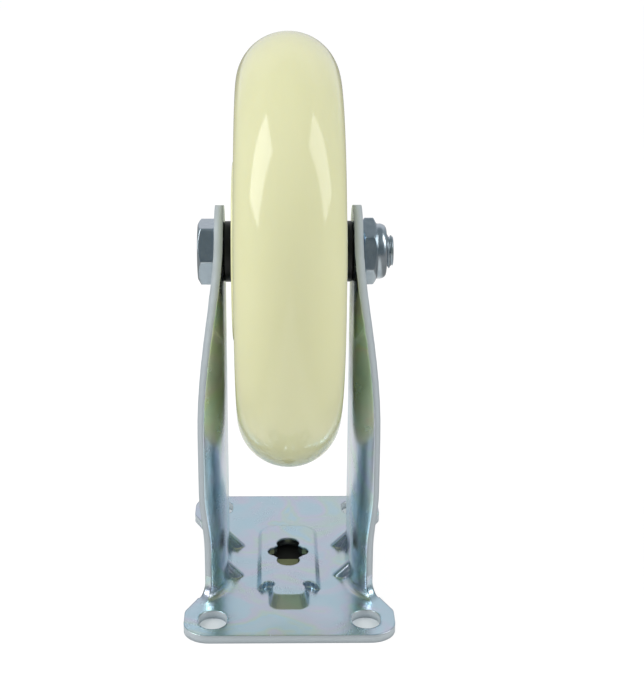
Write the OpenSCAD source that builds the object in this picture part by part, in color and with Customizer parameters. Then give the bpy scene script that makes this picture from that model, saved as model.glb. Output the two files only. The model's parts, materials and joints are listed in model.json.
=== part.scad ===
// Fixed castor standing on its mounting plate: pressed steel fork, moulded wheel on two ball bearings.
// Millimetres, +Z up. The origin is the middle of the plate's mounting face.
// X is the rolling direction. Y runs along the axle, from the bolt head (left) to the nut (right).

/* [Wheel] */
// Diameter over the tread
wheel_d = 125; // [118:0.5:132]
// Width of the full-round tread
tread_w = 29.7; // [27:0.1:31]
// Thickness of the web between rim and hub
web_t = 23; // [18:0.5:25]
// Radius in the corner between web and rim
rim_fillet = 2; // [1:0.5:3]
// Width over the hub's two faces
hub_w = 32; // [31.4:0.2:36]
// Diameter of the hub's raised faces
hub_d = 52; // [46:1:58]
// Radius in the corner between web and hub
hub_fillet = 2.5; // [1:0.5:3]
// Chamfer on the rim of each hub face
hub_chamfer = 0.5; // [0.2:0.1:0.8]

/* [Plate] */
// Length of the plate, along the rolling direction
plate_l = 92; // [89:0.5:98]
// Width of the plate over its ears
plate_w = 61.4; // [60.4:0.1:72]
// Length of each corner ear
ear_l = 18; // [16:0.5:18.5]
// Radius of the plate's four corners
corner_r = 7.5; // [4:0.5:8]
// Radius of each ear's corner beside the leg
ear_r = 5; // [3:0.5:6]
// Distance from a slot's middle to the end of the plate
slot_end = 9; // [8:0.5:10]
// Distance from a slot's middle to the side of the plate
slot_side = 8.4; // [7.8:0.1:10]
// Width of a mounting slot
slot_w = 8.2; // [6.4:0.1:9]
// Length of a mounting slot, end to end
slot_l = 10.4; // [9.2:0.1:11]

/* [Fork legs] */
// Thickness of the pressed sheet
sheet_t = 2.5; // [2:0.1:3]
// Height of the axle above the mounting face
axle_h = 103; // [100:0.5:112]
// Gap between a hub face and a leg
side_gap = 2.6; // [1.6:0.05:3.5]
// Inside radius of the bend between plate and leg
bend_r = 2.5; // [2:0.1:3.5]
// Radius of the fillet between a leg and an ear
foot_fillet = 4.3; // [3:0.1:6]
// Height at which a leg starts to widen
foot_h = 17; // [13:1:24]
// Height at which a leg reaches its widest part
wide_h = 37; // [30:1:44]
// Reach of a leg's widest part past its foot, on each edge
leg_bulge = 2; // [0.6:0.1:2.6]
// Width of each curled edge along the sheet, above the foot
curl_w = 12.4; // [11.6:0.1:13.4]
// Outside radius of the outward curl
curl_r = 16.3; // [15:0.1:20]
// Height below the axle at which a leg starts to narrow towards the eye
shoulder_drop = 49; // [44:0.5:52]
// Radius of the rounded eye round the axle
eye_r = 13.4; // [12:0.1:14.4]

/* [Gusset darts] */
// Distance of each dart inside the edge of the leg's flat
dart_in = 1.5; // [1:0.1:4]
// Reach of a dart up the leg and along the plate
dart_reach = 5.2; // [5:0.1:6.5]
// Radius of a dart's crest
dart_r = 2.2; // [2:0.1:2.5]
// Radius of the dent behind a dart
dent_r = 1.3; // [0.8:0.1:1.6]

/* [Raised tongue] */
// Height of the tongue above the plate
tongue_h = 1.8; // [1:0.1:2.4]
// Width of the slanted walls along the tongue's sides
tongue_slope = 1.2; // [0.8:0.1:1.6]
// Length of the ramp at the tongue's back
back_ramp = 4; // [2:0.1:6]
// Length of the ramp at the tab's front
tab_ramp = 5.6; // [3:0.1:7]
// Reach of the tongue behind the middle of the plate
tongue_back = 24; // [21:0.5:26]
// Reach of the tongue's shoulders in front of the middle
tongue_front = 19; // [17:0.5:20]
// Width of the tongue
tongue_w = 19; // [17:0.5:20]
// Radius of the tongue's back corners
tongue_r = 6.5; // [3:0.5:8]
// Reach of the narrow tab in front of the middle
tab_front = 31; // [28:0.5:33]
// Width of the narrow tab
tab_w = 12; // [9:0.5:12.5]
// Radius of the tab's front corners
tab_r = 3.2; // [2:0.1:4]
// Radius of the notch between tab and shoulder
notch_r = 1.7; // [1:0.1:1.8]
// Length of the four-lobed hole in the tongue
lobe_l = 18.4; // [14:0.2:19]
// Width of the four-lobed hole
lobe_w = 12.8; // [11:0.2:13]
// Radius of the lobes at the ends of the hole
end_lobe_r = 3.6; // [3:0.1:4]
// Radius of the lobes at the sides of the hole
side_lobe_r = 2.7; // [2:0.1:3]
// Radius of the round middle between the lobes
lobe_mid_r = 5.2; // [4.6:0.1:5.4]
// Distance of the hole behind the middle of the plate
lobe_back = 2; // [0:0.5:4]

/* [Axle bolt and nut] */
// Diameter of the axle bolt
bolt_d = 10; // [9:0.1:10.4]
// Width across flats of the bolt head and the nut
hex_af = 17; // [16:0.1:18]
// Turn of a corner of the hexagons below the rolling direction, in degrees
hex_turn = 12.5; // [0:0.5:30]
// Height of the bolt head
head_h = 5; // [4.5:0.1:6.4]
// Height of the nut's hexagon
nut_h = 4.4; // [4:0.1:6]
// Diameter of the nut's collar
collar_d = 16; // [15.5:0.1:16.6]
// Height of the nut's collar
collar_h = 2.8; // [2.4:0.1:3.4]
// Length of bolt that stands out of the nut
bolt_tail = 2; // [1:0.1:4]

/* [Spacers and bearings] */
// Diameter of the black spacers
spacer_d = 17.6; // [16:0.2:18]
// Depth of each bearing below its hub face
bearing_inset = 0.5; // [0.2:0.1:1]
// Outside diameter of a bearing
bearing_d = 30; // [29:0.2:32]
// Width of a bearing
bearing_w = 9; // [8.6:0.1:10]
// Diameter of a ball
ball_d = 4.76; // [4.4:0.02:4.9]
// Number of balls in a bearing
ball_count = 8; // [6:1:9]
// Wall of the sleeve between the bearings
sleeve_wall = 2; // [1.2:0.1:2.4]

/* [Clearances] */
// Gap round the bolt in the bearings and the sleeve
bolt_clear = 0.03; // [0.02:0.01:0.1]
// Gap round the bolt in the legs and the spacers
hole_clear = 0.2; // [0.1:0.05:0.4]
// Gap round a bearing in its seat
seat_clear = 0.01; // [0.01:0.01:0.05]
// Gap between a ball and its tracks
track_clear = 0.08; // [0.05:0.01:0.12]
// Gap between a ball and its cage pocket
pocket_clear = 0.1; // [0.05:0.01:0.15]
// Gap between a shield and the inner ring
shield_clear = 0.3; // [0.2:0.05:0.4]

/* [Hidden] */
$fn = 96;

// Sides of the castor, as signs along the axle
left = -1;
right = 1;

// The legs, measured from the middle of the axle
leg_in = hub_w / 2 + side_gap;
leg_out = leg_in + sheet_t;
leg_top = axle_h + eye_r;
bend_top = sheet_t + bend_r;
bend_lap = 1;

// The leg's outline before its edges are curled, as half widths and heights
ear_x = plate_l / 2 - ear_l;
foot_half = ear_x - foot_fillet;
leg_half = foot_half + leg_bulge;
shoulder_z = axle_h - shoulder_drop;
ease_steps = 8;
arc_steps = 10;

// The curl of the legs' edges, and the darts between the curls
curl_x = foot_half - curl_w;
flat_w = 2 * curl_x;
curl_y = leg_out + curl_r;
curl_mid_r = curl_r + sheet_t / 2;
curl_sweep_deg = 75;
curl_margin = 0.6;
foot_lap_deg = 4;
web_lap = 0.05;
dart_x = curl_x - dart_in;

// Bearing seats and tracks
bearing_mid = hub_w / 2 - bearing_inset - bearing_w / 2;
ring_bore = bolt_d / 2 + bolt_clear;
ball_r = ball_d / 2;
pitch_r = (bearing_d + bolt_d) / 4;
track_depth = 0.9;
track_r = ball_r + track_clear;
inner_land = pitch_r - ball_r + track_depth;
outer_land = pitch_r + ball_r - track_depth;
shield_t = 0.4;
shield_inset = 0.3;
shield_step = 0.9;
shield_seat = outer_land + shield_step;
cage_t = 1.6;
cage_side = 0.5;
seat_shoulder = 2;

// The bolt, the nut and its plastic ring
hex_corner_r = hex_af / 2 / cos(30);
hex_face_share = 0.95;
hex_flat_r = hex_af / 2 * hex_face_share;
hex_reach = 1.2 * hex_corner_r;
hex_chamfer = (hex_reach - hex_flat_r) * tan(30);
nut_top = leg_out + nut_h + collar_h;
bolt_end = nut_top + bolt_tail;
bolt_chamfer = 0.8;
collar_lip = 1;
collar_wall = 0.9;
collar_mouth = 1.4;
insert_h = collar_h - collar_lip;
insert_r = collar_d / 2 - collar_wall;
spacer_chamfer = 0.4;

// A point moves from a to b along a half wave, with level ends
function ease(a, b, t) = a + (b - a) * (1 - cos(180 * t)) / 2;

// Radius and turn of the long shoulder, which leaves the leg upright and runs into the eye
shoulder_r = (pow(leg_half, 2) + pow(shoulder_drop, 2) - pow(eye_r, 2)) / (2 * (leg_half - eye_r));
shoulder_x = leg_half - shoulder_r;
neck_deg = atan2(shoulder_drop, -shoulder_x);

// Front half of the leg's flat outline, from the plate up to the top of the eye
function outline_half() = concat(
    [[ear_x, 0]],
    [for (i = [0 : arc_steps])
        let (a = 90 - 90 * i / arc_steps)
        [ear_x - foot_fillet * cos(a), sheet_t + foot_fillet * (1 - sin(a))]],
    [for (i = [0 : ease_steps])
        let (t = i / ease_steps)
        [ease(foot_half, leg_half, t), foot_h + (wide_h - foot_h) * t]],
    [for (i = [0 : arc_steps])
        let (a = neck_deg * i / arc_steps)
        [shoulder_x + shoulder_r * cos(a), shoulder_z + shoulder_r * sin(a)]],
    [for (i = [1 : arc_steps])
        let (a = neck_deg + (90 - neck_deg) * i / arc_steps)
        [eye_r * cos(a), axle_h + eye_r * sin(a)]]
);

function mirrored(points) = [for (i = [len(points) - 1 : -1 : 0]) [-points[i][0], points[i][1]]];

// Turn round the curl of a point this far from the leg's middle, along the sheet
function turn_deg(half_width) = (half_width - curl_x) / curl_mid_r * 180 / PI;

// Height at which the line from a to b leaves the curl
function curl_exit(a, b) = a[1] + (b[1] - a[1]) * (a[0] - curl_x) / (a[0] - b[0]);

// The same outline wrapped round the curl, as turns and heights, up to where it leaves the curl
function curled_edge() =
    let (half = outline_half())
    [for (i = [0 : len(half) - 1])
        if (half[i][0] > curl_x) [turn_deg(half[i][0]), half[i][1]]
        else if (half[i - 1][0] > curl_x) [0, curl_exit(half[i - 1], half[i])]];

// Stand something modelled along +Z on the axle, pointing to the right
module along_axle() {
    translate([0, 0, axle_h]) rotate([-90, 0, 0]) children();
}

// Extrude a section drawn in Y and Z along X, centred
module along_x(length) {
    translate([-length / 2, 0, 0]) rotate([90, 0, 90]) linear_extrude(length) children();
}

// Sweep a section, drawn in radius and height, round the front curl of the right leg
module round_curl() {
    translate([curl_x, curl_y, 0])
        rotate([0, 0, -90])
            rotate_extrude(angle = curl_sweep_deg) children();
}

// Quarter ring of sheet, bending from level to upright, that laps into the plate and the leg
module bend_section() {
    intersection() {
        difference() {
            circle(bend_r + sheet_t);
            circle(bend_r);
        }
        translate([0, -bend_r - sheet_t]) square(bend_r + sheet_t);
    }
    translate([-bend_lap, -bend_r - sheet_t]) square([bend_lap, sheet_t]);
    translate([bend_r, 0]) square([sheet_t, bend_lap]);
}

// Block with the leg's flat outline, wide enough to hold its middle
module leg_block() {
    half = outline_half();
    translate([0, curl_y, 0])
        rotate([90, 0, 0])
            linear_extrude(curl_y) polygon(concat(half, mirrored(half)));
}

// Block that holds the front curl up to its edge, which it cuts square to the sheet at every height
module curl_block() {
    near = curl_r - curl_margin;
    far = curl_r + sheet_t + bend_r + curl_margin;
    edge = curled_edge();
    points = [for (e = edge)
        each [
            [near * sin(e[0]), -near * cos(e[0]), e[1]],
            [far * sin(e[0]), -far * cos(e[0]), e[1]],
            [2 * far, -2 * far, e[1]],
            [-far / 4, -2 * far, e[1]],
            [-far / 4, -far / 2, e[1]]
        ]];
    sides = 5;
    top = len(points) - sides;
    walls = [for (i = [0 : sides : top - sides], j = [0 : sides - 1])
        let (k = (j + 1) % sides)
        each [
            [i + j, i + k, i + sides + k],
            [i + j, i + sides + k, i + sides + j]
        ]];
    floor = [for (j = [sides - 1 : -1 : 0]) j];
    roof = [for (j = [0 : sides - 1]) top + j];
    translate([curl_x, curl_y, 0]) polyhedron(points, concat([floor], walls, [roof]));
}

// The right leg with its curled edges and the bend at its foot
module leg() {
    intersection() {
        union() {
            translate([-curl_x, leg_in, bend_top]) cube([flat_w, sheet_t, leg_top - bend_top]);
            along_x(flat_w) translate([leg_in - bend_r, bend_top]) bend_section();
        }
        leg_block();
    }
    for (s = [0, 1])
        mirror([s, 0, 0]) intersection() {
            union() {
                round_curl() translate([curl_r, bend_top]) square([sheet_t, leg_top - bend_top]);
                round_curl() translate([curl_r + sheet_t + bend_r, bend_top]) mirror([1, 0]) bend_section();
            }
            curl_block();
        }
}

// Square corner at the origin with its tip rounded off, to be cut away
module corner_waste(r) {
    difference() {
        square(r);
        circle(r);
    }
}

// Point of the right leg's front curl in plan, at a radius and a turn
function on_curl(r, turn) = [curl_x + r * sin(turn), curl_y - r * cos(turn)];

// Corner of the plate that joins the foot of the right leg's front edge to the ear's rounded corner
module foot_web() {
    turn = turn_deg(ear_x) - foot_lap_deg;
    foot_out = on_curl(curl_r, turn);
    foot_in = on_curl(curl_r + sheet_t + bend_r, turn);
    ear_mid = [ear_x + ear_r, plate_w / 2 - ear_r];
    reach = ear_mid - foot_out;
    web_r = ear_r - web_lap;
    touch_deg = atan2(reach[1], reach[0]) + asin(web_r / norm(reach)) + 90;
    polygon([foot_in, foot_out, ear_mid + web_r * [cos(touch_deg), sin(touch_deg)], ear_mid]);
}

// One end of the plate with its two ears
module ears() {
    for (s = [0, 1]) mirror([0, s]) foot_web();
    difference() {
        translate([ear_x, -plate_w / 2]) square([ear_l, plate_w]);
        for (s = [0, 1])
            mirror([0, s]) {
                translate([plate_l / 2 - corner_r, plate_w / 2 - corner_r]) corner_waste(corner_r);
                translate([ear_x + ear_r, plate_w / 2 - ear_r]) mirror([1, 0]) corner_waste(ear_r);
            }
    }
}

// Middle of the plate, up to where the bends start
module plate_middle() {
    difference() {
        square([2 * ear_x, 2 * leg_out + curl_r], center = true);
        for (s = [0, 1])
            mirror([0, s]) {
                translate([-curl_x, leg_in - bend_r]) square([flat_w, 2 * curl_r]);
                for (x = [-curl_x, curl_x])
                    translate([x, curl_y]) circle(curl_r + sheet_t + bend_r);
            }
    }
}

module mounting_slot() {
    run = slot_l - slot_w;
    for (s = [-1, 1])
        translate([s * run / 2, 0, -sheet_t]) cylinder(d = slot_w, h = 3 * sheet_t);
    translate([-run / 2, -slot_w / 2, -sheet_t]) cube([run, slot_w, 3 * sheet_t]);
}

// Lay something across the inside corner of the right leg: +Z along the dart's crest, +Y into the sheet
module at_dart(x) {
    translate([x, leg_in - dart_reach / 2, sheet_t + dart_reach / 2])
        rotate([-45, 0, 0])
            children();
}

module darts() {
    skin = 0.2;
    intersection() {
        for (x = [-dart_x, dart_x])
            at_dart(x) translate([0, dart_r, 0]) cylinder(r = dart_r, h = 4 * dart_reach, center = true);
        translate([-plate_l, 0, skin]) cube([2 * plate_l, leg_out - skin, plate_l]);
    }
}

// Grooves that the punch left behind the darts, one sheet thickness under their crests
module dents() {
    groove_top = sheet_t + 2 * dart_reach;
    groove = concat(
        [for (i = [0 : arc_steps])
            let (a = 180 + 180 * i / arc_steps)
            [dent_r * cos(a), sheet_t + dent_r * (1 + sin(a))]],
        [[dent_r, groove_top], [-dent_r, groove_top]]
    );
    for (x = [-dart_x, dart_x])
        at_dart(x) linear_extrude(6 * dart_reach, center = true) polygon(groove);
}

// Strip from the origin along X with two rounded corners at its far end
module strip(length, width, r) {
    difference() {
        translate([0, -width / 2]) square([length, width]);
        for (s = [0, 1]) mirror([0, s]) translate([length - r, width / 2 - r]) corner_waste(r);
    }
}

// Strip raised with slanted sides and a ramp at its far end; the punch is smaller by these walls
module raised_strip(length, width, r, ramp, is_punch) {
    top = [1 - ramp / length, 1 - 2 * tongue_slope / width];
    base = is_punch ? top : [1, 1];
    linear_extrude(tongue_h, scale = top, slices = 1, $fn = 32) scale(base) strip(length, width, r);
}

// The tongue, sheared square at its front shoulders, with a narrow tab that ramps down to the plate
module tongue_block(is_punch) {
    difference() {
        union() {
            translate([tongue_front, 0, 0])
                mirror([1, 0, 0])
                    raised_strip(tongue_front + tongue_back, tongue_w, tongue_r, back_ramp, is_punch);
            raised_strip(tab_front, tab_w, tab_r, tab_ramp, is_punch);
        }
        for (s = [-1, 1])
            translate([tongue_front, s * tab_w / 2, 0])
                cylinder(r = notch_r, h = 3 * tongue_h, center = true);
    }
}

// Four-lobed hole through the tongue
module lobed_hole() {
    end_x = lobe_l / 2 - end_lobe_r;
    side_y = lobe_w / 2 - side_lobe_r;
    translate([-lobe_back, 0, -sheet_t]) {
        for (s = [-1, 1]) {
            translate([s * end_x, 0, 0]) cylinder(r = end_lobe_r, h = 4 * sheet_t);
            translate([0, s * side_y, 0]) cylinder(r = side_lobe_r, h = 4 * sheet_t);
        }
        cylinder(r = lobe_mid_r, h = 4 * sheet_t);
        translate([-end_x, -side_lobe_r, 0]) cube([2 * end_x, 2 * side_lobe_r, 4 * sheet_t]);
        translate([-side_lobe_r, -side_y, 0]) cube([2 * side_lobe_r, 2 * side_y, 4 * sheet_t]);
    }
}

module fork() {
    color("#a6b5c0") difference() {
        union() {
            linear_extrude(sheet_t) {
                plate_middle();
                for (s = [0, 1]) mirror([s, 0]) ears();
            }
            for (s = [0, 1])
                mirror([0, s, 0]) {
                    leg();
                    darts();
                }
            translate([0, 0, sheet_t]) tongue_block(is_punch = false);
        }
        for (x = [-1, 1], y = [-1, 1])
            translate([x * (plate_l / 2 - slot_end), y * (plate_w / 2 - slot_side), 0]) mounting_slot();
        for (s = [0, 1]) mirror([0, s, 0]) dents();
        tongue_block(is_punch = true);
        lobed_hole();
        along_axle() cylinder(r = bolt_d / 2 + hole_clear, h = 3 * leg_out, center = true);
    }
}

// Half section of the wheel's hub, with chamfered faces and a fillet to the web
module hub_section() {
    h = hub_w / 2;
    r = hub_d / 2;
    face_r = r - hub_chamfer;
    wall_h = h - hub_chamfer;
    polygon([[0, -h], [face_r, -h], [r, -wall_h], [r, wall_h], [face_r, h], [0, h]]);
    for (s = [0, 1])
        mirror([0, s])
            translate([r + hub_fillet, web_t / 2 + hub_fillet])
                rotate(180) corner_waste(hub_fillet);
}

// Round that fills the corner between web and rim, on one side of the wheel
module rim_corner() {
    rim_r = tread_w / 2;
    rim_x = wheel_d / 2 - rim_r;
    web = web_t / 2;
    corner_y = web + rim_fillet;
    reach = rim_r + rim_fillet;
    corner_x = rim_x - sqrt(reach * reach - corner_y * corner_y);
    touch = [rim_x - (rim_x - corner_x) * rim_r / reach, corner_y * rim_r / reach];
    difference() {
        polygon([[corner_x, web], [rim_x, web], touch, [corner_x, corner_y]]);
        translate([corner_x, corner_y]) circle(rim_fillet);
    }
}

module wheel() {
    rim_r = tread_w / 2;
    seat_depth = bearing_inset + bearing_w;
    color("#dcdcb2") along_axle() rotate_extrude() difference() {
        union() {
            translate([wheel_d / 2 - rim_r, 0]) circle(rim_r);
            translate([0, -web_t / 2]) square([wheel_d / 2 - rim_r, web_t]);
            for (s = [0, 1]) mirror([0, s]) rim_corner();
            hub_section();
        }
        translate([0, -hub_w]) square([bearing_d / 2 - seat_shoulder, 2 * hub_w]);
        for (s = [0, 1])
            mirror([0, s])
                translate([0, hub_w / 2 - seat_depth]) square([bearing_d / 2 + seat_clear, 2 * seat_depth]);
    }
}

// Hexagon with its outer corners chamfered, standing on the leg
module hexagon(height) {
    intersection() {
        rotate(hex_turn) cylinder(r = hex_corner_r, h = height, $fn = 6);
        rotate_extrude() polygon([
            [0, 0], [hex_reach, 0],
            [hex_reach, height - hex_chamfer], [hex_flat_r, height], [0, height]
        ]);
    }
}

module axle_bolt() {
    r = bolt_d / 2;
    color("#8f9aa2") along_axle() {
        translate([0, 0, -leg_out]) mirror([0, 0, 1]) hexagon(head_h);
        rotate_extrude() polygon([
            [0, -leg_out], [r, -leg_out],
            [r, bolt_end - bolt_chamfer], [r - bolt_chamfer, bolt_end], [0, bolt_end]
        ]);
    }
}

module lock_nut() {
    mouth_r = bolt_d / 2 + collar_mouth;
    color("#98a3ab") along_axle() translate([0, 0, leg_out]) difference() {
        union() {
            hexagon(nut_h);
            rotate_extrude() {
                square([collar_d / 2, nut_h + collar_h - collar_lip]);
                translate([0, nut_h]) square([collar_d / 2 - collar_lip, collar_h]);
                translate([collar_d / 2 - collar_lip, nut_h + collar_h - collar_lip]) circle(collar_lip);
            }
        }
        translate([0, 0, -nut_h]) cylinder(r = bolt_d / 2 + bolt_clear, h = 3 * nut_h);
        translate([0, 0, nut_h]) cylinder(r = insert_r, h = insert_h);
        translate([0, 0, nut_h]) cylinder(r = mouth_r, h = 2 * collar_h);
    }
}

module nut_insert() {
    color("#dfe3e4") along_axle() translate([0, 0, leg_out + nut_h]) difference() {
        cylinder(r = insert_r - bolt_clear, h = insert_h);
        translate([0, 0, -insert_h]) cylinder(r = bolt_d / 2 + bolt_clear, h = 3 * insert_h);
    }
}

// Bush from the leg to the bearing's inner ring, chamfered at the leg
module spacer(side) {
    bore = bolt_d / 2 + hole_clear;
    length = side_gap + bearing_inset;
    r = spacer_d / 2;
    color("#17181a") along_axle() mirror([0, 0, (1 - side) / 2])
        translate([0, 0, leg_in - length])
            rotate_extrude() polygon([
                [bore, 0], [r, 0],
                [r, length - spacer_chamfer], [r - spacer_chamfer, length], [bore, length]
            ]);
}

module centre_sleeve() {
    half = bearing_mid - bearing_w / 2;
    color("#8b9299") along_axle() difference() {
        cylinder(r = ring_bore + sleeve_wall, h = 2 * half, center = true);
        cylinder(r = ring_bore, h = 4 * half, center = true);
    }
}

// Place a bearing piece on its side, with +Z pointing out of the hub
module at_bearing(side) {
    along_axle() mirror([0, 0, (1 - side) / 2]) translate([0, 0, bearing_mid]) children();
}

module ball_track() {
    translate([pitch_r, 0]) circle(track_r);
}

module outer_ring(side) {
    seat = shield_t + shield_inset;
    color("#9aa3aa") at_bearing(side) rotate_extrude() difference() {
        translate([outer_land, -bearing_w / 2]) square([bearing_d / 2 - outer_land, bearing_w]);
        ball_track();
        for (s = [0, 1])
            mirror([0, s]) translate([0, bearing_w / 2 - seat]) square([shield_seat, bearing_w]);
    }
}

module inner_ring(side) {
    color("#a3abb1") at_bearing(side) rotate_extrude() difference() {
        translate([ring_bore, -bearing_w / 2]) square([inner_land - ring_bore, bearing_w]);
        ball_track();
    }
}

module balls(side) {
    color("#b9c0c5") at_bearing(side)
        for (i = [0 : ball_count - 1])
            rotate(360 * i / ball_count) translate([pitch_r, 0, 0]) sphere(ball_r);
}

module cage(side) {
    half = ball_r + pocket_clear + cage_side;
    color("#b08d4a") at_bearing(side) difference() {
        rotate_extrude() translate([pitch_r - cage_t / 2, -half]) square([cage_t, 2 * half]);
        for (i = [0 : ball_count - 1])
            rotate(360 * i / ball_count)
                translate([pitch_r, 0, 0])
                    rotate([0, 90, 0])
                        sphere(ball_r + pocket_clear);
    }
}

// Thin cover pressed into the outer ring; face is 1 for the hub's outside, 0 for its inside
module shield(side, face) {
    color("#7f8890") at_bearing(side) mirror([0, 0, 1 - face])
        translate([0, 0, bearing_w / 2 - shield_inset - shield_t])
            rotate_extrude() translate([inner_land + shield_clear, 0])
                square([shield_seat - seat_clear - inner_land - shield_clear, shield_t]);
}

fork();
wheel();
axle_bolt();
lock_nut();
nut_insert();
spacer(left);  // left_spacer
spacer(right);  // right_spacer
centre_sleeve();
outer_ring(left);  // left_outer_ring
inner_ring(left);  // left_inner_ring
balls(left);  // left_balls
cage(left);  // left_cage
shield(left, 1);  // left_outer_shield
shield(left, 0);  // left_inner_shield
outer_ring(right);  // right_outer_ring
inner_ring(right);  // right_inner_ring
balls(right);  // right_balls
cage(right);  // right_cage
shield(right, 1);  // right_outer_shield
shield(right, 0);  // right_inner_shield
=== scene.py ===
# %% [markdown]
# # A fixed castor, dressed for a studio picture
# The castor is a pressed steel fork with a moulded wheel, a through bolt and two ball bearings.
# Its construction is finished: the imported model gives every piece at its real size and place. This
# lesson gives those pieces their finishes, and remakes three of them that a picture shows too closely.
# Everything is in metres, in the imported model's own frame: X is the rolling direction, Y runs along
# the axle, and the mounting face lies on Z = 0. Most lengths are written in millimetres, as on a
# drawing, and turned to metres where they are used.

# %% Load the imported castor
import json
import math

import bpy
from mathutils import Matrix, Vector


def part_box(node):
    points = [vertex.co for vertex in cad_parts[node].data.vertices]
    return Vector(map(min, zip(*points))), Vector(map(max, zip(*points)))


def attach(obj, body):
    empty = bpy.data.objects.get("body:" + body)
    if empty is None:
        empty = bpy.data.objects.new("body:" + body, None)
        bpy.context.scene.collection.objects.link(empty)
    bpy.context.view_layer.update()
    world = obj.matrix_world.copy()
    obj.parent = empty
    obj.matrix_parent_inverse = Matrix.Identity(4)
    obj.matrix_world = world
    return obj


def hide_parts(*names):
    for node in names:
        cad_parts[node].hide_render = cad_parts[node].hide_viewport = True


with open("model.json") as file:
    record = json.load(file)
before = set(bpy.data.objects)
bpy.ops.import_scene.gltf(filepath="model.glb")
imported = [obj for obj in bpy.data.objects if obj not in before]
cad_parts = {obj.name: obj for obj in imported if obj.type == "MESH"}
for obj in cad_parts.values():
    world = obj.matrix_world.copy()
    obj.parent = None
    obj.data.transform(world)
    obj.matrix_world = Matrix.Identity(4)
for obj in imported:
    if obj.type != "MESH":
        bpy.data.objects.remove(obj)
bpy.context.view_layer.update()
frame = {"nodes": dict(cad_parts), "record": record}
nodes = frame["nodes"]
MM = 0.001

# %% [markdown]
# ## The camera
# The picture was taken from in front of the tread, from higher than the wheel's top and less than
# three castor heights away, looking down. The camera's place could be guessed and nudged. It is better
# worked out: the wheel's height and width, the plate's corners and the legs' edges in the picture fix
# the distance, the tilt and the lens together. The castor stands a little left of the frame's middle.
# The frame is shifted for that and the camera isn't turned, which would change the perspective.

# %% What was worked out from the picture
PICTURE_W, PICTURE_H = 644, 700
camera_at = Vector((423.8, -4.3, 227.3)) * MM
tilt_down = math.radians(20.83)
turn_right = math.radians(0.52)
focal_px = 1517.0
axis_px = (286.7, 370.3)

ahead = Vector((
    -math.cos(turn_right) * math.cos(tilt_down),
    math.sin(turn_right) * math.cos(tilt_down),
    -math.sin(tilt_down),
))
rightward = Vector((math.sin(turn_right), math.cos(turn_right), 0))
upward = rightward.cross(ahead)
print("camera", round(camera_at.length / MM), "mm from the plate's middle, looking along",
      [round(c, 3) for c in ahead])

# %% Stand the camera in front of the tread
SENSOR = 36.0
NEAREST = 10.0


def put_in_scene(name, data):
    """Show a camera, a lamp or a mesh as an object of the scene."""
    thing = bpy.data.objects.new(name, data)
    bpy.context.scene.collection.objects.link(thing)
    return thing


camera = put_in_scene("camera", bpy.data.cameras.new("camera"))
camera.matrix_world = Matrix((
    (rightward.x, upward.x, -ahead.x, camera_at.x),
    (rightward.y, upward.y, -ahead.y, camera_at.y),
    (rightward.z, upward.z, -ahead.z, camera_at.z),
    (0, 0, 0, 1),
))
camera.data.sensor_width = SENSOR
camera.data.lens = focal_px / PICTURE_H * SENSOR
camera.data.shift_x = (PICTURE_W / 2 - axis_px[0]) / PICTURE_H
camera.data.shift_y = (axis_px[1] - PICTURE_H / 2) / PICTURE_H
camera.data.clip_start = NEAREST * MM
bpy.context.scene.camera = camera
bpy.context.scene.view_settings.view_transform = "Standard"
print("lens", round(camera.data.lens, 1), "mm, shift",
      round(camera.data.shift_x, 3), round(camera.data.shift_y, 3))

# %% [markdown]
# ## Small tools
# Colours are written as a designer would note them, as sRGB hex values, and Blender wants linear
# light, so one function converts them. Every finish is a little tree of nodes, which could be wired by
# hand in the shader editor. Here one function adds a node, sets what it is given and links what feeds
# it, so that a finish reads as a list. Another turns a pattern's real size into a texture's scale.

# %% Colours and pattern sizes
def linear(hex_colour):
    """Linear red, green, blue and alpha of an sRGB hex colour."""
    parts = [int(hex_colour[i:i + 2], 16) / 255 for i in (1, 3, 5)]
    return [c / 12.92 if c <= 0.04045 else ((c + 0.055) / 1.055) ** 2.4 for c in parts] + [1.0]


def per_mm(size_mm):
    """Texture scale, in object space, of a pattern whose cells are this many millimetres."""
    return 1 / (size_mm * MM)


WHITE = linear("#FFFFFF")
print("middle grey #808080 is", round(linear("#808080")[0], 3), "in linear light, white is", WHITE[0])


# %% Nodes
def empty_tree(owner):
    """Switch a material or a world to nodes, without the nodes that it comes with."""
    owner.use_nodes = True
    owner.node_tree.nodes.clear()
    return owner.node_tree


def add(tree, kind, settings=None, feeds=None):
    """Add a node: settings are its properties and plain sockets, feeds are the outputs linked into it."""
    node = tree.nodes.new(kind)
    for name, value in (settings or {}).items():
        if isinstance(name, int) or name in node.inputs:
            node.inputs[name].default_value = value
        else:
            setattr(node, name, value)
    for name, source in (feeds or {}).items():
        tree.links.new(source, node.inputs[name])
    return node


print("nodes are added by", add.__name__, "to a tree from", empty_tree.__name__)

# %% [markdown]
# ## Softboxes
# The picture was lit by two tall softboxes, one on each side of the castor: their reflections stand on
# the tread as two soft upright bars. The boxes could be placed by eye. Tracing those bars back over the
# round tread gives their places instead, and the same bars then fall out of the render by themselves.
# They stand less than a metre from so small a thing, so a few watts are enough.

# %% Two softboxes
aim_at = Vector((0, 0, 105)) * MM


def softbox(name, place_mm, size_mm, watts):
    lamp = bpy.data.lights.new(name, "AREA")
    lamp.shape = "RECTANGLE"
    lamp.size, lamp.size_y = (s * MM for s in size_mm)
    lamp.energy = watts
    box = put_in_scene(name, lamp)
    box.location = Vector(place_mm) * MM
    box.rotation_euler = (aim_at - box.location).to_track_quat("-Z", "Y").to_euler()


softbox("left_softbox", place_mm=(110, -640, 590), size_mm=(380, 620), watts=2.6)
softbox("right_softbox", place_mm=(60, 640, 570), size_mm=(330, 600), watts=1.6)
print("two softboxes aimed at", [round(c / MM) for c in aim_at], "mm")

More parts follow.
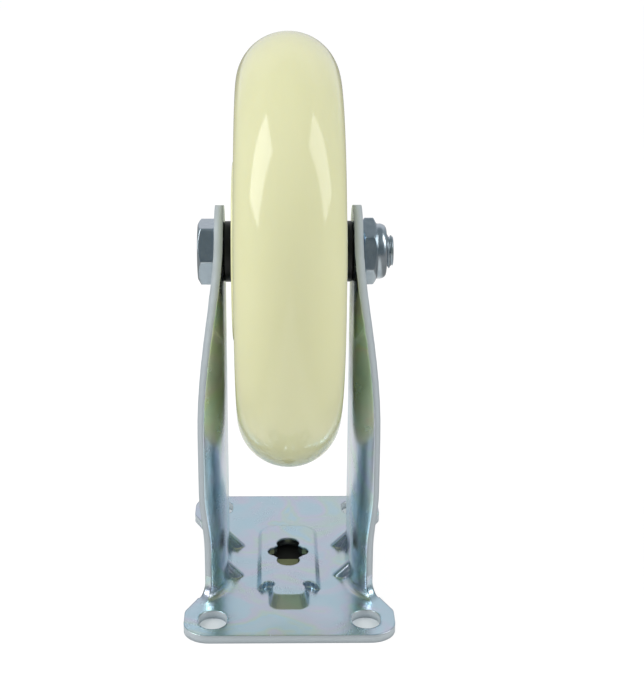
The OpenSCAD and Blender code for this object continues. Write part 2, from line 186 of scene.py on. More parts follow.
# %% [markdown]
# ## The room
# The background is white, but bright metal never is: it mirrors the room, with its pale back wall,
# greyer sides and ceiling, and the dim space behind the camera. The white could come from more light,
# but that would bleach the castor too. Instead the light path says what a ray is for. The camera sees
# plain white, a mirror or a glass sees the grey room, and what lights the castor is an even, plain fill
# that is weaker from above.

# %% The room that the metal mirrors
# Each layer covers the one before it, from where its direction starts to where it covers all. The
# directions are shares of a unit arrow: X points behind the camera, Y to the sides and Z to the ceiling.
WALL_COLOUR = "#CFD1D7"
SIDE_COLOUR = "#8A959B"
ROOM_COLOUR = "#5C666C"
CEILING_COLOUR = "#7C868C"
world = bpy.data.worlds.new("studio")
bpy.context.scene.world = world
tree = empty_tree(world)
direction = add(tree, "ShaderNodeTexCoord")
arrow = add(tree, "ShaderNodeSeparateXYZ", feeds={"Vector": direction.outputs["Generated"]})
aside = add(tree, "ShaderNodeMath", {"operation": "ABSOLUTE"}, {0: arrow.outputs["Y"]})
mirrored = None
for part, colour, starts, covers in (
        (aside.outputs[0], SIDE_COLOUR, 0.35, 0.75),
        (arrow.outputs["X"], ROOM_COLOUR, 0.2, 0.8),
        (arrow.outputs["Z"], CEILING_COLOUR, 0.6, 0.85)):
    share = add(tree, "ShaderNodeMapRange", {
        "interpolation_type": "SMOOTHSTEP", "From Min": starts, "From Max": covers}, {"Value": part})
    feeds = {"Factor": share.outputs["Result"]}
    if mirrored:
        feeds["A"] = mirrored
    layer = add(tree, "ShaderNodeMix", {
        "data_type": "RGBA", "A": linear(WALL_COLOUR), "B": linear(colour)}, feeds)
    mirrored = layer.outputs["Result"]
studio = add(tree, "ShaderNodeBackground", {"Strength": 1.0}, {"Color": mirrored})
print("room: walls", WALL_COLOUR, "sides", SIDE_COLOUR, "front", ROOM_COLOUR, "ceiling", CEILING_COLOUR)

# %% White to the camera, the room to a mirror, plain fill light to the rest
FILL_LEVEL = 0.93
FILL_ABOVE = 0.66
ABOVE_STARTS, ABOVE_COVERS = 0.2, 0.9
path = add(tree, "ShaderNodeLightPath")
from_above = add(tree, "ShaderNodeMapRange", {
    "From Min": ABOVE_STARTS, "From Max": ABOVE_COVERS, "To Min": FILL_LEVEL, "To Max": FILL_ABOVE},
    {"Value": arrow.outputs["Z"]})
fill = add(tree, "ShaderNodeBackground", {"Color": WHITE}, {"Strength": from_above.outputs["Result"]})
white = add(tree, "ShaderNodeBackground", {"Color": WHITE, "Strength": 1.0})
mirror_ray = add(tree, "ShaderNodeMath", {"operation": "MAXIMUM"}, {
    0: path.outputs["Is Glossy Ray"], 1: path.outputs["Is Transmission Ray"]})
lit = add(tree, "ShaderNodeMixShader", feeds={
    "Fac": mirror_ray.outputs[0], 1: fill.outputs[0], 2: studio.outputs[0]})
seen = add(tree, "ShaderNodeMixShader", feeds={
    "Fac": path.outputs["Is Camera Ray"], 1: lit.outputs[0], 2: white.outputs[0]})
add(tree, "ShaderNodeOutputWorld", feeds={"Surface": seen.outputs[0]})
print("fill light", FILL_LEVEL, "from around and", FILL_ABOVE, "from above")

# %% [markdown]
# ## The floor
# The castor stands on white paper that has no edge in the picture. A plain lit floor would come out grey
# against the white, and a glowing one would lose the soft shadow that makes the castor stand. So the
# camera sees a sum: a steady glow, and a small share that takes light and keeps the shadow. To the
# castor it is ordinary matt paper, which the metal mirrors as a strip on a darker table.

# %% A large square of floor
FLOOR_HALF = 4.0
SQUARE = ((-1, -1), (1, -1), (1, 1), (-1, 1))
floor_mesh = bpy.data.meshes.new("floor")
floor_mesh.from_pydata([(i * FLOOR_HALF, j * FLOOR_HALF, 0) for i, j in SQUARE], [], [(0, 1, 2, 3)])
floor = put_in_scene("floor", floor_mesh)
print("floor", 2 * FLOOR_HALF, "m square")

# %% Matt backdrop paper, as the castor sees it
# Uncoated paper gives the eye no gloss at all, only faint clouds where its fibres lie thicker.
PAPER_DARK, PAPER_LIGHT = 0.78, 0.82
CLOUD_MM = 6
STRIP_HALF = 40.0
TABLE_SHARE = 0.35
paper = bpy.data.materials.new("matt_white_backdrop_paper")
tree = empty_tree(paper)
path = add(tree, "ShaderNodeLightPath")
fibre = add(tree, "ShaderNodeTexNoise", {"Scale": per_mm(CLOUD_MM), "Detail": 3.0})
tone = add(tree, "ShaderNodeMapRange", {"To Min": PAPER_DARK, "To Max": PAPER_LIGHT},
           {"Value": fibre.outputs["Fac"]})
spot = add(tree, "ShaderNodeNewGeometry")
at = add(tree, "ShaderNodeSeparateXYZ", feeds={"Vector": spot.outputs["Position"]})
beside = add(tree, "ShaderNodeMath", {"operation": "ABSOLUTE"}, {0: at.outputs["Y"]})
table = add(tree, "ShaderNodeMapRange", {
    "From Min": STRIP_HALF * MM, "From Max": 2 * STRIP_HALF * MM, "To Min": 1.0, "To Max": TABLE_SHARE},
    {"Value": beside.outputs[0]})
in_metal = add(tree, "ShaderNodeMix", {"A": 1.0}, {
    "Factor": path.outputs["Is Glossy Ray"], "B": table.outputs["Result"]})
paper_tone = add(tree, "ShaderNodeMath", {"operation": "MULTIPLY"}, {
    0: tone.outputs[0], 1: in_metal.outputs["Result"]})
lit_paper = add(tree, "ShaderNodeBsdfDiffuse", feeds={"Color": paper_tone.outputs[0]})
print("paper strip", 2 * STRIP_HALF, "mm wide in the metal, on a table", TABLE_SHARE, "as bright")

# %% The same paper, as the camera sees it
SHADOW_SHARE = 0.18
WHITE_SHARE = 0.87
shadow_part = add(tree, "ShaderNodeBsdfDiffuse", {"Color": (SHADOW_SHARE,) * 3 + (1,)})
white_part = add(tree, "ShaderNodeEmission", {"Strength": WHITE_SHARE})
sweep = add(tree, "ShaderNodeAddShader", feeds={0: shadow_part.outputs[0], 1: white_part.outputs[0]})
chosen = add(tree, "ShaderNodeMixShader", feeds={
    "Fac": path.outputs["Is Camera Ray"], 1: lit_paper.outputs[0], 2: sweep.outputs[0]})
add(tree, "ShaderNodeOutputMaterial", feeds={"Surface": chosen.outputs[0]})
floor_mesh.materials.append(paper)
print("paper glows", WHITE_SHARE, "to the camera and takes", SHADOW_SHARE, "of the light")

# %% [markdown]
# ## Slips under the plate
# The glowing floor would also shine up through the plate's slots and the hole in its tongue, where a
# real floor lies in the plate's own shade. It could be masked in the floor's nodes. Slips of plain pale
# paper laid under the slots do the same and are easier to follow, because they only show the light
# that reaches them. Under the raised tongue the shade is painted: the slip there is dark paper that
# stands in for the deep shade, and a straw one on it is painted light, for the spot below the hole
# that the cream wheel lights.

# %% Paper for the slips
# The slips are uncoated paper too, matt and a little uneven in tone.
FIBRE_MM = 1.5
FIBRE_SHARE = 0.06


def make_slip_paper(name, colour):
    material = bpy.data.materials.new(name)
    tree = empty_tree(material)
    fibre = add(tree, "ShaderNodeTexNoise", {"Scale": per_mm(FIBRE_MM), "Detail": 3.0})
    faint = add(tree, "ShaderNodeMapRange", {"To Max": FIBRE_SHARE}, {"Value": fibre.outputs["Fac"]})
    tone = add(tree, "ShaderNodeMix", {"data_type": "RGBA", "A": linear(colour), "B": WHITE},
               {"Factor": faint.outputs[0]})
    matt = add(tree, "ShaderNodeBsdfDiffuse", feeds={"Color": tone.outputs["Result"]})
    add(tree, "ShaderNodeOutputMaterial", feeds={"Surface": matt.outputs[0]})
    return material


pale_paper = make_slip_paper("pale_uncoated_paper", "#DFE6EB")
# Painted shade and painted light: the dark paper stands in for the deep shade under the tongue, and the
# straw paper for the light that the cream wheel throws below its hole.
painted_shade_paper = make_slip_paper("painted_shade_uncoated_paper", "#222422")
painted_wheel_light_paper = make_slip_paper("painted_wheel_light_uncoated_paper", "#A9AD84")
print("made", pale_paper.name, painted_shade_paper.name, painted_wheel_light_paper.name)

# %% Lay the slips, a hair above the floor
slots = next(m["dims"] for m in frame["record"]["mounts"] if m["name"] == "plate_slots")
slip_lift = 0.02
tongue_middle, tongue_half = (-6, 0), (15, 8)
lobe_middle, lobe_half = (-1.0, 0), (4.0, 3.2)


def slip(name, middle_mm, half_mm, lift_mm, material):
    corners = []
    for i, j in SQUARE:
        corners.append((
            (middle_mm[0] + i * half_mm[0]) * MM,
            (middle_mm[1] + j * half_mm[1]) * MM,
            lift_mm * MM,
        ))
    mesh = bpy.data.meshes.new(name)
    mesh.from_pydata(corners, [], [(0, 1, 2, 3)])
    mesh.materials.append(material)
    piece = put_in_scene(name, mesh)


for i in (-1, 1):
    for j in (-1, 1):
        slip("slot_slip", (i * slots["spacing_x_mm"] / 2, j * slots["spacing_y_mm"] / 2),
             (slots["slot_length_mm"] / 2, slots["hole_r_mm"]), slip_lift, pale_paper)
# Painted shade under the tongue, and painted light from the wheel on a smaller slip below the hole.
slip("tongue_painted_shade_slip", tongue_middle, tongue_half, slip_lift, painted_shade_paper)
slip("tongue_lobe_painted_light_slip", lobe_middle, lobe_half, 2 * slip_lift, painted_wheel_light_paper)
print("six slips under a plate with slots", slots["spacing_x_mm"], "by", slots["spacing_y_mm"],
      "mm apart")

# %% [markdown]
# ## The finishes
# Each finish starts from what the real surface is and how it was made. The colour and gloss come
# from that material's usual values, and are then matched to the picture. Patterns are sized in
# millimetres, so that a mark is as large on the model as on the castor, unless it would be too fine
# to show.

# %% [markdown]
# ### Cream nylon, injection moulded
# The wheel is natural polyamide, a pale greenish cream that is slightly clouded all through. It could
# be a plain glossy paint, but then its shaded side would look like painted metal. A share of subsurface
# scattering lets light go in for two or three millimetres first, which softens the shading as it does
# in the real moulding.

# %% Make the cream nylon
# The polished mould leaves the eye a sharp gloss with a faint orange peel over soft, cloudy cream. The
# depth is how far red, green and blue light wander inside it, in mm.
NYLON_CLOUD_MM = 22
PEEL_MM = 2.5
LIGHT_DEPTH = (3.0, 2.6, 1.6)


def make_cream_nylon():
    material = bpy.data.materials.new("cream_moulded_nylon")
    tree = empty_tree(material)
    place = add(tree, "ShaderNodeTexCoord")
    cloud = add(tree, "ShaderNodeTexNoise", {
        "Scale": per_mm(NYLON_CLOUD_MM), "Detail": 3.0, "Roughness": 0.55},
        {"Vector": place.outputs["Object"]})
    tint = add(tree, "ShaderNodeMix", {
        "data_type": "RGBA", "A": linear("#DDDDAF"), "B": linear("#E1E1B7")},
        {"Factor": cloud.outputs["Fac"]})
    peel = add(tree, "ShaderNodeTexNoise", {"Scale": per_mm(PEEL_MM), "Detail": 2.0},
               {"Vector": place.outputs["Object"]})
    gloss = add(tree, "ShaderNodeMapRange", {"To Min": 0.08, "To Max": 0.12},
                {"Value": peel.outputs["Fac"]})
    relief = add(tree, "ShaderNodeBump", {"Strength": 0.04, "Distance": 0.05 * MM},
                 {"Height": peel.outputs["Fac"]})
    shader = add(tree, "ShaderNodeBsdfPrincipled", {
        "IOR": 1.53, "Subsurface Weight": 0.25,
        "Subsurface Radius": [d * MM for d in LIGHT_DEPTH], "Subsurface Scale": 1.0,
    }, {"Base Color": tint.outputs["Result"], "Roughness": gloss.outputs[0], "Normal": relief.outputs[0]})
    add(tree, "ShaderNodeOutputMaterial", feeds={"Surface": shader.outputs[0]})
    return material


cream_nylon = make_cream_nylon()
print("made", cream_nylon.name, "with an orange peel of", PEEL_MM, "mm")

# %% [markdown]
# ### Zinc plate on pressed sheet, blue passivated
# The fork is one steel sheet, pressed, zinc plated and dipped in a passivating bath. Bright zinc is a
# soft blue-white mirror, and the film on it is thinner than a wave of light, so its blue drifts through
# faint lilac and green. A thin-film shader could compute those tints. A slow noise through a ramp of
# pale tints is simpler, and each tint can be matched to the picture.

# %% The plated face of the sheet
# It gives the eye a blurred mirror with a tint that wanders. The rolling grain runs along X, and it is
# drawn coarser than it is, 2.4 by 0.4 mm, because the real grain is too fine to show.
EDGE_MM = 1.0
DRIFT_MM, GRAIN_MM, BLOT_MM = 26, 2.4, 7
GRAIN_STRETCH, GRAIN_SHARE = 6.0, 0.5
FILM_TINTS = (
    (0.30, "#CBE7F1"), (0.42, "#D1E6F0"), (0.50, "#DCE1EF"),
    (0.57, "#D6E9E3"), (0.64, "#CDE8F2"), (0.72, "#D3E8F1"),
)


def plated_face(tree, place):
    drift = add(tree, "ShaderNodeTexNoise", {"Scale": per_mm(DRIFT_MM), "Detail": 3.0, "Distortion": 1.2},
                {"Vector": place})
    film = add(tree, "ShaderNodeValToRGB", feeds={"Fac": drift.outputs["Fac"]})
    stops = film.color_ramp.elements
    for position, tint in FILM_TINTS:
        stops.new(position).color = linear(tint)
    stops.remove(stops[-1])
    stops.remove(stops[0])
    stretch = add(tree, "ShaderNodeMapping", {"Scale": (1.0, GRAIN_STRETCH, GRAIN_STRETCH)},
                  {"Vector": place})
    grain = add(tree, "ShaderNodeTexNoise", {"Scale": per_mm(GRAIN_MM), "Detail": 4.0, "Roughness": 0.65},
                {"Vector": stretch.outputs[0]})
    blot = add(tree, "ShaderNodeTexNoise", {"Scale": per_mm(BLOT_MM), "Detail": 2.0}, {"Vector": place})
    marks = add(tree, "ShaderNodeMath", {"operation": "MULTIPLY_ADD", 1: GRAIN_SHARE},
                {0: grain.outputs["Fac"], 2: blot.outputs["Fac"]})
    gloss = add(tree, "ShaderNodeMapRange", {
        "From Min": 0.5, "From Max": 1.0, "To Min": 0.20, "To Max": 0.29}, {"Value": marks.outputs[0]})
    worn_edge = add(tree, "ShaderNodeBevel", {"samples": 8, "Radius": EDGE_MM * MM})
    relief = add(tree, "ShaderNodeBump", {"Strength": 0.06, "Distance": 0.05 * MM},
                 {"Height": grain.outputs["Fac"], "Normal": worn_edge.outputs[0]})
    shader = add(tree, "ShaderNodeBsdfPrincipled", {"Metallic": 1.0}, {
        "Base Color": film.outputs["Color"], "Roughness": gloss.outputs[0], "Normal": relief.outputs[0]})
    return shader.outputs[0]


print("film of", len(FILM_TINTS), "tints that drift over", DRIFT_MM, "mm")

# %% [markdown]
# ### The sheared edge of the sheet
# Where the press cut the sheet, its edge is torn and duller than its faces. That shows along the legs
# and round the plate's corners. The cut faces could be picked by hand and given a finish of their own,
# but the solid's mesh is left alone here. So the finish finds them: a face is a cut where it doesn't
# look across the sheet. Across the plate is up. Across a leg is sideways on its flat, and away from the
# curl's axis on its curled edge. The fork's four quarters are alike, so one quarter's answer serves all.

# %% The cut face of the sheet
# It gives the eye a matt, grainy grey. The tear marks are drawn coarser than they are, to show at all.
TEAR_MM = 0.6


def cut_face(tree, place):
    tear = add(tree, "ShaderNodeTexNoise", {"Scale": per_mm(TEAR_MM), "Detail": 3.0}, {"Vector": place})
    rolled_over = add(tree, "ShaderNodeBevel", {"samples": 12, "Radius": 3 * EDGE_MM * MM})
    torn = add(tree, "ShaderNodeBump", {"Strength": 0.35, "Distance": 0.08 * MM},
               {"Height": tear.outputs["Fac"], "Normal": rolled_over.outputs[0]})
    shader = add(tree, "ShaderNodeBsdfPrincipled", {
        "Metallic": 0.3, "Base Color": linear("#BFC8CD"), "Roughness": 0.6}, {"Normal": torn.outputs[0]})
    return shader.outputs[0]


print("cut face with tear marks of", TEAR_MM, "mm")

# %% Which way is across a leg's sheet
# The curl's axis is upright, and its place is in mm in one quarter of the fork.
CURL_X, CURL_Y = 11.3, 37.4


def across_leg(tree, position, folded):
    """Direction across the leg's sheet: sideways on the flat, away from the curl's axis on the curl."""
    from_curl = add(tree, "ShaderNodeVectorMath", {
        "operation": "MULTIPLY_ADD", 1: (1, 1, 0), 2: (-CURL_X * MM, -CURL_Y * MM, 0)}, {0: folded})
    flat_or_curl = add(tree, "ShaderNodeVectorMath", {"operation": "MAXIMUM", 1: (0, -1, 0)},
                       {0: from_curl.outputs[0]})
    quarter = add(tree, "ShaderNodeVectorMath", {"operation": "SIGN"}, {0: position})
    unfolded = add(tree, "ShaderNodeVectorMath", {"operation": "MULTIPLY"},
                   {0: flat_or_curl.outputs[0], 1: quarter.outputs[0]})
    unit = add(tree, "ShaderNodeVectorMath", {"operation": "NORMALIZE"}, {0: unfolded.outputs[0]})
    return unit.outputs[0]


print("a leg is flat up to", CURL_X, "mm from its middle, and curls from there on")

# %% Where the sheet is cut
# Sizes are in mm: where the leg is clear of its bend, just above the plate's top, and how far out the
# plate's corner ears start. The last two values are cosines: a face that is turned less than the first
# is plated, and one that is turned more than the second is cut.
LEG_FOOT = 9.0
SHEET_TOP = 2.6
EAR_X = 28.0
FACE_ON, EDGE_ON = 0.88, 0.76


def cut_mask(tree):
    surface = add(tree, "ShaderNodeNewGeometry")
    position, normal = surface.outputs["Position"], surface.outputs["True Normal"]
    fold = add(tree, "ShaderNodeVectorMath", {"operation": "ABSOLUTE"}, {0: position})
    folded = fold.outputs[0]
    at = add(tree, "ShaderNodeSeparateXYZ", feeds={"Vector": folded})
    on_leg = add(tree, "ShaderNodeMath", {"operation": "GREATER_THAN", 1: LEG_FOOT * MM},
                 {0: at.outputs["Z"]})
    in_plate = add(tree, "ShaderNodeMath", {"operation": "LESS_THAN", 1: SHEET_TOP * MM},
                   {0: at.outputs["Z"]})
    in_ears = add(tree, "ShaderNodeMath", {"operation": "GREATER_THAN", 1: EAR_X * MM},
                  {0: at.outputs["X"]})
    on_ear = add(tree, "ShaderNodeMath", {"operation": "MULTIPLY"},
                 {0: in_plate.outputs[0], 1: in_ears.outputs[0]})
    across = add(tree, "ShaderNodeMix", {"data_type": "VECTOR", "A": (0, 0, 1)},
                 {"Factor": on_leg.outputs[0], "B": across_leg(tree, position, folded)})
    facing = add(tree, "ShaderNodeVectorMath", {"operation": "DOT_PRODUCT"},
                 {0: normal, 1: across.outputs["Result"]})
    faced = add(tree, "ShaderNodeMath", {"operation": "ABSOLUTE"}, {0: facing.outputs["Value"]})
    turned = add(tree, "ShaderNodeMapRange", {"From Min": FACE_ON, "From Max": EDGE_ON},
                 {"Value": faced.outputs[0]})
    clear_of_bend = add(tree, "ShaderNodeMath", {"operation": "MAXIMUM"},
                        {0: on_leg.outputs[0], 1: on_ear.outputs[0]})
    mask = add(tree, "ShaderNodeMath", {"operation": "MULTIPLY"},
               {0: turned.outputs[0], 1: clear_of_bend.outputs[0]})
    return mask.outputs[0]


print("a face counts as cut when it is turned", round(math.degrees(math.acos(EDGE_ON))),
      "degrees off the sheet")

# %% Put face and edge together
zinc_sheet = bpy.data.materials.new("blue_passivated_zinc_on_sheet")
tree = empty_tree(zinc_sheet)
place = add(tree, "ShaderNodeTexCoord")
sheet = add(tree, "ShaderNodeMixShader", feeds={
    "Fac": cut_mask(tree),
    1: plated_face(tree, place.outputs["Object"]),
    2: cut_face(tree, place.outputs["Object"]),
})
add(tree, "ShaderNodeOutputMaterial", feeds={"Surface": sheet.outputs[0]})
print("made", zinc_sheet.name, "of", len(tree.nodes), "nodes")

# %% [markdown]
# ### Fasteners and bearing metals
# The bolt and nut were tumbled in a barrel for plating, so they are greyer than the sheet and carry
# fine nicks. The bearings are ground, their cages pressed, and the sleeve and shields drawn. Four
# materials could be built one by one. They are all bare metal that differs only in tint, gloss and the
# size of its marks, so one function makes them.

# %% Make the four plain metals
# They give the eye a mirror that is blurred a little unevenly. Their nicks and grinding marks are drawn
# larger than they are, or they would be finer than a pixel.
def make_plain_metal(name, dark, light, rough, nick_mm):
    material = bpy.data.materials.new(name)
    tree = empty_tree(material)
    place = add(tree, "ShaderNodeTexCoord")
    nick = add(tree, "ShaderNodeTexNoise", {"Scale": per_mm(nick_mm), "Detail": 4.0, "Roughness": 0.6},
               {"Vector": place.outputs["Object"]})
    tint = add(tree, "ShaderNodeMix", {"data_type": "RGBA", "A": linear(dark), "B": linear(light)},
               {"Factor": nick.outputs["Fac"]})
    gloss = add(tree, "ShaderNodeMapRange", {"To Min": rough * 0.8, "To Max": rough * 1.2},
                {"Value": nick.outputs["Fac"]})
    worn_edge = add(tree, "ShaderNodeBevel", {"samples": 8, "Radius": EDGE_MM / 2 * MM})
    relief = add(tree, "ShaderNodeBump", {"Strength": 0.08, "Distance": 0.04 * MM},
                 {"Height": nick.outputs["Fac"], "Normal": worn_edge.outputs[0]})
    shader = add(tree, "ShaderNodeBsdfPrincipled", {"Metallic": 1.0}, {
        "Base Color": tint.outputs["Result"], "Roughness": gloss.outputs[0], "Normal": relief.outputs[0]})
    add(tree, "ShaderNodeOutputMaterial", feeds={"Surface": shader.outputs[0]})
    return material


zinc_fastener = make_plain_metal(
    "tumbled_zinc_on_fasteners", "#B6C2CA", "#D2DCE2", rough=0.22, nick_mm=1.8)
plain_steel = make_plain_metal("drawn_plain_steel", "#7C8288", "#969CA2", rough=0.34, nick_mm=1.2)
bearing_steel = make_plain_metal("ground_bearing_steel", "#A7ACB0", "#BCC1C4", rough=0.12, nick_mm=3.0)
cage_metal = make_plain_metal("pressed_steel_cage", "#8F8B80", "#A6A296", rough=0.28, nick_mm=1.5)
print("made", zinc_fastener.name, plain_steel.name, bearing_steel.name, cage_metal.name)

# %% [markdown]
# ### Moulded plastics
# The spacers are black acetal and the nut's locking ring is white nylon, both straight from the mould.
# They could share the wheel's finish in other colours, but their moulds were spark eroded and not
# polished, and they are too small for light inside them to matter. So they get a plainer, duller one.

# %% Make the two plastics
# They give the eye a satin sheen with a fine grain, which is drawn as coarse as it needs to show.
def make_moulded_plastic(name, colour, worn, rough, grain_mm, ior):
    material = bpy.data.materials.new(name)
    tree = empty_tree(material)
    place = add(tree, "ShaderNodeTexCoord")
    grain = add(tree, "ShaderNodeTexNoise", {"Scale": per_mm(grain_mm), "Detail": 3.0},
                {"Vector": place.outputs["Object"]})
    tint = add(tree, "ShaderNodeMix", {"data_type": "RGBA", "A": linear(colour), "B": linear(worn)},
               {"Factor": grain.outputs["Fac"]})
    gloss = add(tree, "ShaderNodeMapRange", {"To Min": rough * 0.85, "To Max": rough * 1.15},
                {"Value": grain.outputs["Fac"]})
    relief = add(tree, "ShaderNodeBump", {"Strength": 0.15, "Distance": 0.03 * MM},
                 {"Height": grain.outputs["Fac"]})
    shader = add(tree, "ShaderNodeBsdfPrincipled", {"IOR": ior}, {
        "Base Color": tint.outputs["Result"], "Roughness": gloss.outputs[0], "Normal": relief.outputs[0]})
    add(tree, "ShaderNodeOutputMaterial", feeds={"Surface": shader.outputs[0]})
    return material


black_acetal = make_moulded_plastic(
    "black_moulded_acetal", "#08090A", "#111213", rough=0.38, grain_mm=0.5, ior=1.48)
white_nylon = make_moulded_plastic(
    "white_nylon_ring", "#D6DADB", "#E6E8E6", rough=0.42, grain_mm=0.6, ior=1.53)
print("made", black_acetal.name, white_nylon.name)

# %% [markdown]
# ## Pieces that keep their solid
# The fork, spacers and bearings have their true form already, so each only gets the finish that
# its record names. A pressed or tumbled edge is never a knife edge, and that thin rounding is what
# catches the light. It is only a few pixels wide here, so the metal finishes above round the shading
# over the edge and leave the solid alone. A bevel modifier on such a busy pressing would tear at its
# darts.

# %% Give every solid its finish
FINISH = {
    "zinc_plated_sheet": zinc_sheet, "cream_nylon": cream_nylon, "zinc_plated_fastener": zinc_fastener,
    "white_nylon": white_nylon, "black_plastic": black_acetal, "plain_steel": plain_steel,
    "bearing_steel": bearing_steel, "pressed_cage": cage_metal,
}
for part in frame["record"]["subparts"]:
    piece = nodes[part["node"]]
    piece.data.materials.clear()
    piece.data.materials.append(FINISH[part["material_slot"]])

# %% [markdown]
# ## The moulded wheel
# The wheel is the largest thing in the picture, and a meshed solid would show its flats in the
# highlights. A subdivision surface could hide them, but it would soften the hub's edges too. The same
# section is simply spun again, in finer steps. It is written the way a wheel is dimensioned: a
# full-round rim, a thinner web, a hub with fillets, and a stepped bore for the two bearings.

# %% Sizes of the wheel, in mm
wheel_low, wheel_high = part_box("wheel")
axle_z = (wheel_low.z + wheel_high.z) / 2 / MM
wheel_r = (wheel_high.z - wheel_low.z) / 2 / MM
hub_half = wheel_high.y / MM
rim_r, rim_fillet = 14.85, 2.0
web_half = 11.5
hub_r, hub_fillet, hub_edge = 26.0, 2.5, 0.5
seat_r, seat_depth, bore_r = 15.01, 9.5, 13.0
rim_centre = wheel_r - rim_r
seat_end = hub_half - seat_depth
print("wheel of radius", round(wheel_r, 2), "mm on an axle", round(axle_z, 2), "mm up")


# %% Section of the wheel, as radius and distance from the middle
def arc(centre, radius, start_deg, end_deg, steps):
    for i in range(steps + 1):
        a = math.radians(start_deg + (end_deg - start_deg) * i / steps)
        yield (centre[0] + radius * math.cos(a), centre[1] + radius * math.sin(a))


fillet_y = web_half + rim_fillet
fillet_x = rim_centre - math.sqrt((rim_r + rim_fillet) ** 2 - fillet_y ** 2)
touch_deg = math.degrees(math.atan2(fillet_y, rim_centre - fillet_x))
half_section = [
    *arc((rim_centre, 0), rim_r, 0, 180 - touch_deg, steps=40),
    *arc((fillet_x, fillet_y), rim_fillet, -touch_deg, -90, steps=8),
    *arc((hub_r + hub_fillet, web_half + hub_fillet), hub_fillet, 270, 180, steps=10),
    *arc((hub_r - hub_edge, hub_half - hub_edge), hub_edge, 0, 90, steps=4),
    *arc((seat_r + hub_edge, hub_half - hub_edge), hub_edge, 90, 180, steps=4),
    (seat_r, seat_end), (bore_r, seat_end),
]
wheel_section = half_section + [(r, -y) for r, y in reversed(half_section[1:])]
print("wheel section of", len(wheel_section), "points")


# %% Points round the axle, and a smooth piece made of them
def round_axle(radius, y, angle):
    """A point in metres, at this radius and distance along the axle in mm. Angles start at the top."""
    return (radius * math.sin(angle) * MM, y * MM, (axle_z + radius * math.cos(angle)) * MM)


def smooth_piece(name, points, faces, crease_deg, material):
    """A piece that is shaded smooth, except across edges that bend more than the crease's angle."""
    mesh = bpy.data.meshes.new(name)
    mesh.from_pydata(points, [], faces)
    mesh.polygons.foreach_set("use_smooth", [True] * len(mesh.polygons))
    mesh.set_sharp_from_angle(angle=math.radians(crease_deg))
    mesh.materials.append(material)
    return put_in_scene(name, mesh)


print("top of the tread at", [round(c, 4) for c in round_axle(wheel_r, 0, 0)], "m")

# %% Spin the section round the axle
spin_steps = 256
wheel_crease = 32

count = len(wheel_section)
points, faces = [], []
for k in range(spin_steps):
    angle = 2 * math.pi * k / spin_steps
    points += [round_axle(r, y, angle) for r, y in wheel_section]
    here, after = k * count, (k + 1) % spin_steps * count
    for i in range(count):
        j = (i + 1) % count
        faces.append((here + i, after + i, after + j, here + j))
moulded_wheel = smooth_piece("moulded_wheel", points, faces, wheel_crease, cream_nylon)
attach(moulded_wheel, "wheel_set")
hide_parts("wheel")
print("moulded_wheel:", len(moulded_wheel.data.polygons), "faces")

# %% [markdown]
# ## The threaded axle bolt
# The bolt's end stands out of the nut and shows its thread, which the solid leaves out. A thread
# could be a helix swept round a rod and joined to it. Here the bolt is one skin instead: rings of
# points along the axle, whose radius follows the thread as the angle turns. The same skin makes the
# hexagon, because a hexagon is also just a radius for each angle, and the turned chamfer cuts it.

# %% A hexagon as a radius for each angle, in mm
across_flats = 17.0
corner_round = 0.6
flat_steps, corner_steps = 17, 4
sixth = math.radians(60)
round_centre = (across_flats / 2 - corner_round) / math.cos(sixth / 2)
round_half = math.atan2(corner_round * math.sin(sixth / 2),
                        round_centre + corner_round * math.cos(sixth / 2))


def hexagon(corner_below_x):
    """Angles round a hexagon, each with its radius. One corner lies this many degrees below X."""
    outline = []
    for k in range(6):
        corner = math.radians(90 + corner_below_x) + k * sixth
        for i in range(corner_steps):
            off = round_half * (2 * i / corner_steps - 1)
            across = round_centre * math.sin(off)
            radius = round_centre * math.cos(off) + math.sqrt(corner_round ** 2 - across ** 2)
            outline.append((corner + off, radius))
        for i in range(flat_steps):
            off = round_half + (sixth - 2 * round_half) * i / flat_steps
            outline.append((corner + off, across_flats / 2 / math.cos(sixth / 2 - off)))
    return outline


print("hexagon of", len(hexagon(0)), "points,",
      round(2 * max(r for a, r in hexagon(0)), 2), "mm over the corners")

# %% The chamfer that turning leaves on a hexagon's end
chamfer_start = 0.95 * across_flats / 2
chamfer_slope = math.tan(math.radians(30))


def chamfered(outline, end_y, inward):
    """Ring where the chamfer from a hexagon's end face meets its flats: the curved line on each flat."""
    return [(r, end_y + inward * (r - chamfer_start) * chamfer_slope) for a, r in outline]


print("chamfer from radius", round(chamfer_start, 2), "mm outwards")

# %% A skin of rings along the axle
fastener_crease = 24


def skin(name, outline, rings, replaced):
    """Join rings of (radius, y) in mm. A bored piece ends on its first ring, a rod's ends are capped."""
    angles = [a for a, r in outline]
    around = len(angles)
    is_bored = rings[0] == rings[-1]
    rings = rings[:-1] if is_bored else rings
    points = [round_axle(r, y, a) for ring in rings for a, (r, y) in zip(angles, ring)]
    faces = []
    for i in range(len(rings) if is_bored else len(rings) - 1):
        here, after = i * around, (i + 1) % len(rings) * around
        for k in range(around):
            beside = (k + 1) % around
            faces.append((here + k, here + beside, after + beside, after + k))
    if not is_bored:
        faces.append(tuple(reversed(range(around))))
        faces.append(tuple((len(rings) - 1) * around + k for k in range(around)))
    piece = smooth_piece(name, points, faces, fastener_crease, zinc_fastener)
    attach(piece, "bracket")
    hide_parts(replaced)
    print(name, "of", len(rings), "rings and", len(faces), "faces")


print("fasteners are shaded smooth up to a bend of", fastener_crease, "degrees")

# %% The thread as a radius for each angle and place along the bolt, in mm
bolt_low, bolt_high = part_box("axle_bolt")
head_out, bolt_end = bolt_low.y / MM, bolt_high.y / MM
bolt_r = 5.0
thread_pitch, thread_depth = 1.5, 0.85
flank_gain, crest_share = 1.6, 0.2
thread_start = 14.0
end_chamfer = 0.9


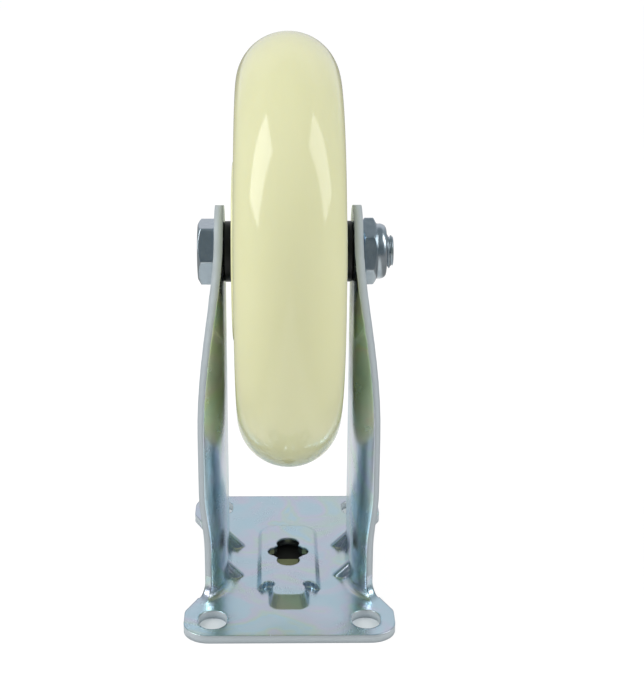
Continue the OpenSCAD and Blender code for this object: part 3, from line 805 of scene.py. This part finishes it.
def thread_r(angle, y):
    turn = (y / thread_pitch - angle / (2 * math.pi)) % 1
    cut = max(0.0, min(1.0, flank_gain * (1 - abs(2 * turn - 1)) - crest_share))
    run_in = max(0.0, min(1.0, (y - thread_start) / thread_pitch))
    chamfer = max(0.0, y - (bolt_end - end_chamfer))
    return min(bolt_r - thread_depth * cut * run_in, bolt_r - chamfer)


print("thread of pitch", thread_pitch, "mm, root radius", round(bolt_r - thread_depth, 2), "mm")

# %% The bolt, from the head's middle to the thread's end
head_turn = 2.5
head_height = 5.0
ring_step = 0.1
head_seat = head_out + head_height

head = hexagon(head_turn)
bolt_rings = [[(r, head_out)] * len(head) for r in (chamfer_start / 2, chamfer_start)]
bolt_rings += [chamfered(head, head_out, 1), [(r, head_seat) for a, r in head]]
bolt_rings += [[(bolt_r, y)] * len(head) for y in (head_seat, thread_start)]
for i in range(1, int((bolt_end - thread_start) / ring_step) + 1):
    y = thread_start + i * ring_step
    bolt_rings.append([(thread_r(a, y), y) for a, r in head])
skin("threaded_axle_bolt", head, bolt_rings, "axle_bolt")

# %% [markdown]
# ## The lock nut
# The nut's collar is rolled over a plastic ring when the nut is made, which leaves it domed like a
# bead. That dome is what glints in the picture. It could be turned as a piece of its own and set on a
# hexagon. The skin makes both in one: out over the hexagon, round the dome, and back through the ring's
# seat and the bore. A nut stops where the spanner leaves it, so it stands at another turn than the
# bolt's head.

# %% The nut, from the leg to the collar's mouth and back through the bore
nut_low, nut_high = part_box("lock_nut")
seat_y, nut_end = nut_low.y / MM, nut_high.y / MM
nut_turn = 20
hexagon_height = 4.4
collar_r, collar_mouth_r = 8.0, 6.4
ring_seat_r, lip = 7.1, 1.0
bore_play = 0.02
dome_steps, dome_h = 10, 2.0
hexagon_end = seat_y + hexagon_height
ring_seat_end = nut_end - lip
nut_bore_r = bolt_r + bore_play

dome = []
for i in range(dome_steps + 1):
    a = math.pi / 2 * i / dome_steps
    dome.append((collar_mouth_r + (collar_r - collar_mouth_r) * math.cos(a),
                 nut_end - dome_h + dome_h * math.sin(a)))
inside = [(collar_mouth_r, ring_seat_end), (ring_seat_r, ring_seat_end), (ring_seat_r, hexagon_end),
          (nut_bore_r, hexagon_end), (nut_bore_r, seat_y)]
nut_outline = hexagon(nut_turn)
nut_rings = [[(r, seat_y)] * len(nut_outline) for r in (nut_bore_r, chamfer_start)]
nut_rings += [chamfered(nut_outline, seat_y, 1), chamfered(nut_outline, hexagon_end, -1)]
nut_rings += [[p] * len(nut_outline) for p in [(collar_r, hexagon_end)] + dome + inside]
skin("domed_lock_nut", nut_outline, nut_rings, "lock_nut")
